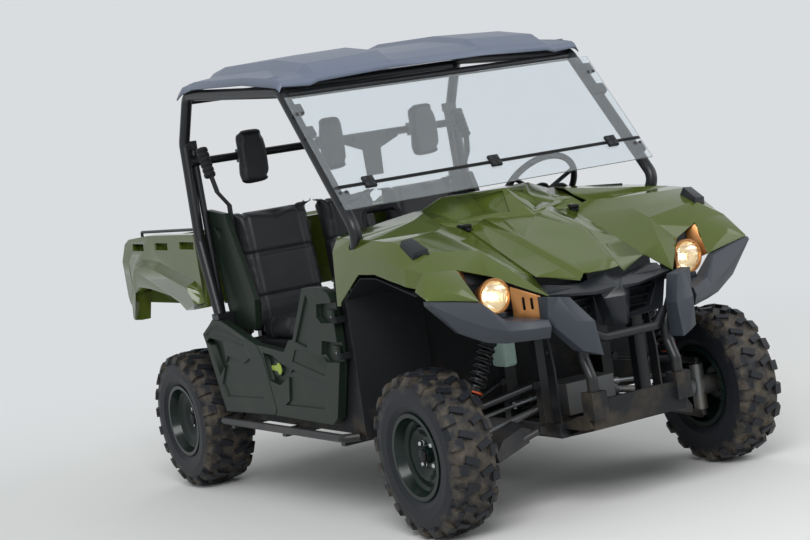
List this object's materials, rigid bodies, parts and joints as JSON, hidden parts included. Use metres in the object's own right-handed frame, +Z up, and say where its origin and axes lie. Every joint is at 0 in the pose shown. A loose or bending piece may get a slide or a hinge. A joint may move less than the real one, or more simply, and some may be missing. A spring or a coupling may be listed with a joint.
{
  "type": "side by side utility vehicle",
  "caption": "Open utility vehicle with bench seating, roll cage, roof, clear windshield, half doors, lugged tyres and a tilting cargo bed.",
  "frame": {"origin": "on the ground, at the centre of the vehicle's length and width", "axes": "+X to the vehicle's left, +Y to the rear, +Z up"},
  "size_m": [1.57, 3.161, 1.912],
  "materials": {
    "painted_plastic_olive": "moulded-in olive green, glossy",
    "black_plastic": "grained moulded plastic",
    "slate_plastic": "fine-grained slate grey",
    "door_plastic": "dark green-black moulding",
    "frame_paint": "satin black powder coat",
    "cast_alloy": "cast",
    "tyre_rubber": "dusty",
    "rim_paint": "gloss black",
    "seat_vinyl": "black vinyl",
    "clear_sheet": "clear polycarbonate",
    "lamp_lens": "clear lens over warm reflector",
    "copper_trim": "moulding with a warm copper tone",
    "belt_webbing": "black webbing",
    "plain_steel": "bare"
  },
  "bodies": {
    "chassis": {"frame": "frame_paint", "front_tower": "frame_paint", "rear_tower": "frame_paint", "lamp_trims": "copper_trim", "skid_plate": "black_plastic", "engine": "cast_alloy", "muffler": "plain_steel", "front_lower_arms": "frame_paint", "front_upper_arms": "frame_paint", "rear_lower_arms": "frame_paint", "rear_upper_arms": "frame_paint", "shocks": "plain_steel", "front_drive": "cast_alloy", "rear_drive": "cast_alloy", "steering_rack": "plain_steel", "rear_carriers": "cast_alloy", "floor_tub": "black_plastic", "seat_base": "black_plastic", "seat_pads": "seat_vinyl", "headrest_pads": "seat_vinyl", "roll_cage": "frame_paint", "roof": "slate_plastic", "windshield_panes": "clear_sheet", "windshield_clamps": "black_plastic", "dashboard": "black_plastic", "side_shields": "door_plastic", "quarter_panels": "door_plastic", "step_bars": "frame_paint", "belts": "belt_webbing", "front_fender_left": "painted_plastic_olive", "front_fender_right": "painted_plastic_olive", "cowl": "painted_plastic_olive", "nose_panel": "black_plastic", "headlights": "lamp_lens", "bumper_guards": "slate_plastic", "bumper_tubes": "frame_paint", "marker_blocks": "black_plastic", "arch_liners": "black_plastic"},
    "knuckle_left": {"knuckle_left": "cast_alloy"},
    "knuckle_right": {"knuckle_right": "cast_alloy"},
    "steering_wheel": {"steering_wheel": "black_plastic"},
    "door_left": {"door_left": "door_plastic"},
    "door_right": {"door_right": "door_plastic"},
    "hood": {"hood": "painted_plastic_olive"},
    "bed": {"bed_tub": "painted_plastic_olive", "bed_rails": "frame_paint"},
    "tailgate": {"tailgate": "painted_plastic_olive"},
    "wheel_front_left": {"tyre_front_left": "tyre_rubber", "rim_front_left": "rim_paint"},
    "wheel_front_right": {"tyre_front_right": "tyre_rubber", "rim_front_right": "rim_paint"},
    "wheel_rear_left": {"tyre_rear_left": "tyre_rubber", "rim_rear_left": "rim_paint"},
    "wheel_rear_right": {"tyre_rear_right": "tyre_rubber", "rim_rear_right": "rim_paint"}
  },
  "joints": [
    {"name": "steering_turn", "type": "hinge", "parent": "chassis", "child": "steering_wheel", "pos_m": [0.4, -0.47, 1.15], "axis": [0, 0.788, 0.6157], "range_deg": [-540, 540]},
    {"name": "kingpin_left", "type": "hinge", "parent": "chassis", "child": "knuckle_left", "pos_m": [0.59, -1.103, 0.3175], "axis": [0, 0, 1], "range_deg": [-30, 30]},
    {"name": "kingpin_right", "type": "hinge", "parent": "chassis", "child": "knuckle_right", "pos_m": [-0.59, -1.103, 0.3175], "axis": [0, 0, 1], "range_deg": [-30, 30]},
    {"name": "wheel_spin_front_left", "type": "hinge", "parent": "knuckle_left", "child": "wheel_front_left", "pos_m": [0.672, -1.103, 0.3175], "axis": [1, 0, 0], "continuous": true},
    {"name": "wheel_spin_front_right", "type": "hinge", "parent": "knuckle_right", "child": "wheel_front_right", "pos_m": [-0.672, -1.103, 0.3175], "axis": [1, 0, 0], "continuous": true},
    {"name": "wheel_spin_rear_left", "type": "hinge", "parent": "chassis", "child": "wheel_rear_left", "pos_m": [0.658, 1.037, 0.3175], "axis": [1, 0, 0], "continuous": true},
    {"name": "wheel_spin_rear_right", "type": "hinge", "parent": "chassis", "child": "wheel_rear_right", "pos_m": [-0.658, 1.037, 0.3175], "axis": [1, 0, 0], "continuous": true},
    {"name": "door_swing_left", "type": "hinge", "parent": "chassis", "child": "door_left", "pos_m": [0.742, -0.588, 0.7], "axis": [0, 0, -1], "range_deg": [0, 70]},
    {"name": "door_swing_right", "type": "hinge", "parent": "chassis", "child": "door_right", "pos_m": [-0.742, -0.588, 0.7], "axis": [0, 0, 1], "range_deg": [0, 70]},
    {"name": "hood_lift", "type": "hinge", "parent": "chassis", "child": "hood", "pos_m": [0, -1.392, 0.868], "axis": [1, 0, 0], "range_deg": [0, 60]},
    {"name": "bed_tilt", "type": "hinge", "parent": "chassis", "child": "bed", "pos_m": [0, 1.318, 0.844], "axis": [-1, 0, 0], "range_deg": [0, 45]},
    {"name": "tailgate_drop", "type": "hinge", "parent": "bed", "child": "tailgate", "pos_m": [0, 1.556, 0.866], "axis": [-1, 0, 0], "range_deg": [0, 90]}
  ],
  "couplings": [
    {"joint": "kingpin_left", "follows": "steering_turn", "ratio": 0.0555},
    {"joint": "kingpin_right", "follows": "steering_turn", "ratio": 0.0555}
  ]
}
